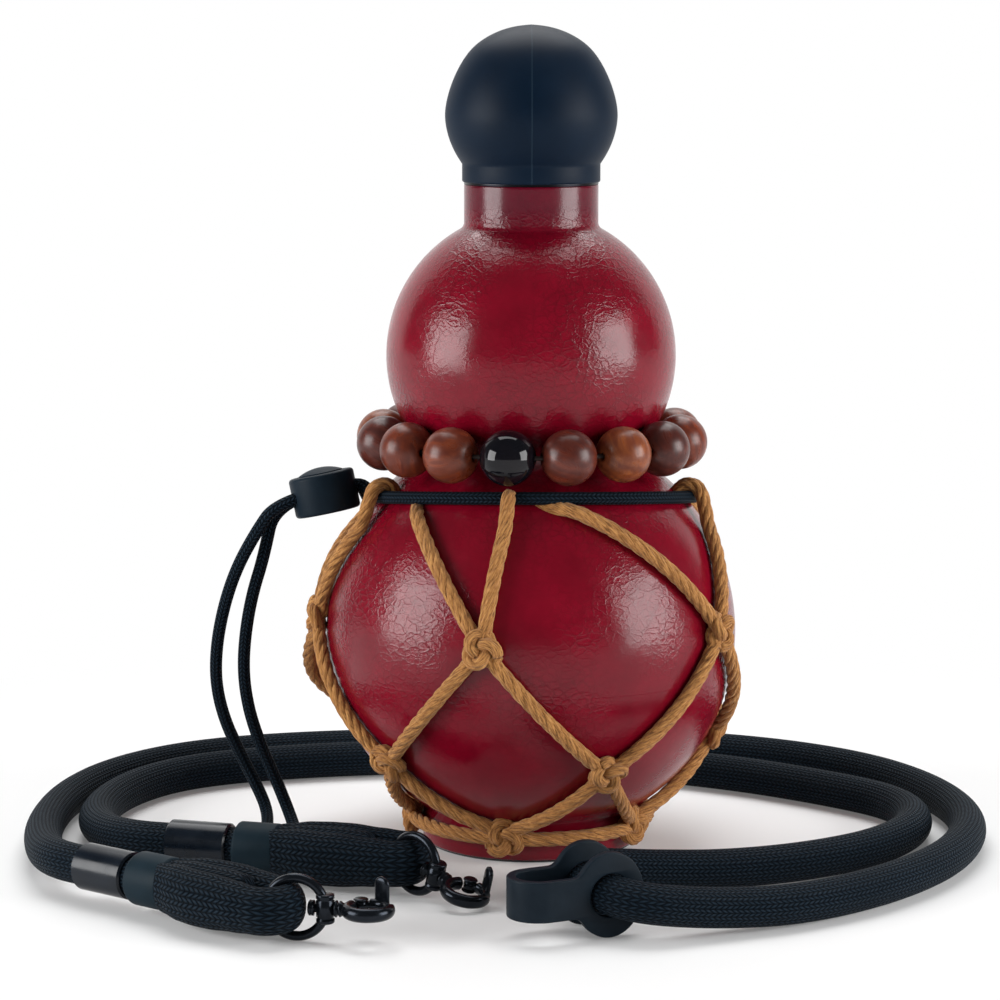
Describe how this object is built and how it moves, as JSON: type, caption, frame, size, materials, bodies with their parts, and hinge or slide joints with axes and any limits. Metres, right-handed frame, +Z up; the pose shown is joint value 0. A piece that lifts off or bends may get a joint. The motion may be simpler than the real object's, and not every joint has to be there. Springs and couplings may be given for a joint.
{
  "type": "gourd water bottle",
  "caption": "Dark red gourd-shaped water bottle with a screw cap, wooden bead bracelet, knotted cord net, cord lock and a black rope strap with swivel clasps.",
  "frame": {"origin": "centre of the foot's underside, on the surface the bottle stands on", "axes": "+Z up along the bottle's axis, the pictured front faces -Y, +X to the picture's right"},
  "size_m": [0.2685, 0.2143, 0.2224],
  "materials": {
    "red_lacquer": "gloss lacquer with a fine crackle grain",
    "steel": "brushed stainless steel",
    "rubber": "matte",
    "navy_plastic": "soft satin",
    "bead_wood": "satin, turned",
    "black_gloss": "polished",
    "elastic": "matte",
    "brown_cord": "twisted cotton",
    "black_cord": "braided cord",
    "lock_plastic": "moulded satin",
    "black_rope": "braided sheath",
    "black_nickel": "black nickel gloss",
    "dark_sleeve": "matte",
    "black_leather": "smooth, burnished edges"
  },
  "bodies": {
    "bottle": {"lower_shell": "red_lacquer", "upper_shell": "red_lacquer", "inner_liner": "steel", "mouth_ring": "steel", "base_plate": "steel", "foot_pad": "rubber", "cord_net": "brown_cord", "waist_drawcord": "black_cord", "lock_body": "lock_plastic", "lock_spring": "steel", "drawcord_tail": "black_cord", "strap_rope": "black_rope", "strap_tag": "black_leather", "ferrule_front": "black_nickel", "sleeve_front": "dark_sleeve", "rope_eye_front": "black_rope", "ferrule_rear": "black_nickel", "sleeve_rear": "dark_sleeve", "rope_eye_rear": "black_rope"},
    "seal": {"cap_seal": "rubber"},
    "cap": {"cap_cover": "navy_plastic", "cap_core": "navy_plastic"},
    "bracelet": {"wood_bead_01": "bead_wood", "wood_bead_02": "bead_wood", "wood_bead_03": "bead_wood", "wood_bead_04": "bead_wood", "wood_bead_05": "bead_wood", "wood_bead_06": "bead_wood", "wood_bead_07": "bead_wood", "wood_bead_08": "bead_wood", "wood_bead_09": "bead_wood", "wood_bead_10": "bead_wood", "wood_bead_11": "bead_wood", "wood_bead_12": "bead_wood", "wood_bead_13": "bead_wood", "wood_bead_14": "bead_wood", "wood_bead_15": "bead_wood", "black_bead": "black_gloss", "bracelet_cord": "elastic"},
    "button": {"lock_button": "lock_plastic"},
    "front_bow": {"clasp_bow_front": "black_nickel"},
    "front_claw": {"clasp_claw_front": "black_nickel", "gate_pin_front": "black_nickel"},
    "front_gate": {"clasp_gate_front": "black_nickel"},
    "rear_bow": {"clasp_bow_rear": "black_nickel"},
    "rear_claw": {"clasp_claw_rear": "black_nickel", "gate_pin_rear": "black_nickel"},
    "rear_gate": {"clasp_gate_rear": "black_nickel"}
  },
  "joints": [
    {"name": "cap_lift", "type": "slide", "parent": "bottle", "child": "seal", "axis": [0, 0, 1], "range_m": [0, 0.007]},
    {"name": "cap_turn", "type": "hinge", "parent": "seal", "child": "cap", "pos_m": [0, 0, 0.19], "axis": [0, 0, 1], "range_deg": [0, 720]},
    {"name": "bracelet_turn", "type": "hinge", "parent": "bottle", "child": "bracelet", "pos_m": [0, 0, 0.11006], "axis": [0, 0, 1], "continuous": true},
    {"name": "lock_press", "type": "slide", "parent": "bottle", "child": "button", "axis": [0.2034, -0.0852, -0.9754], "range_m": [0, 0.0012], "stiffness_N_per_m": 800, "deforming": ["lock_spring"]},
    {"name": "front_bow_swing", "type": "hinge", "parent": "bottle", "child": "front_bow", "pos_m": [-0.0655, -0.1033, 0.0085], "axis": [0, 0, 1], "range_deg": [-70, 40]},
    {"name": "front_swivel", "type": "hinge", "parent": "front_bow", "child": "front_claw", "pos_m": [-0.05831, -0.10457, 0.0085], "axis": [0.9848, -0.1736, 0], "continuous": true},
    {"name": "front_gate_open", "type": "hinge", "parent": "front_claw", "child": "front_gate", "pos_m": [-0.04251, -0.10292, 0.0085], "axis": [0, 0, -1], "range_deg": [0, 25], "stiffness_Nm_per_rad": 0.02},
    {"name": "rear_bow_swing", "type": "hinge", "parent": "bottle", "child": "rear_bow", "pos_m": [-0.0355, -0.0575, 0.0085], "axis": [0, 0, 1], "range_deg": [-38, 45]},
    {"name": "rear_swivel", "type": "hinge", "parent": "rear_bow", "child": "rear_claw", "pos_m": [-0.03008, -0.06238, 0.0085], "axis": [0.7178, -0.6463, -0.2588], "continuous": true},
    {"name": "rear_gate_open", "type": "hinge", "parent": "rear_claw", "child": "rear_gate", "pos_m": [-0.01619, -0.06901, 0.00455], "axis": [-0.1923, 0.1732, -0.9659], "range_deg": [0, 25], "stiffness_Nm_per_rad": 0.02}
  ],
  "couplings": [
    {"joint": "cap_turn", "follows": "cap_lift", "rad_per_m": 1795.2}
  ]
}
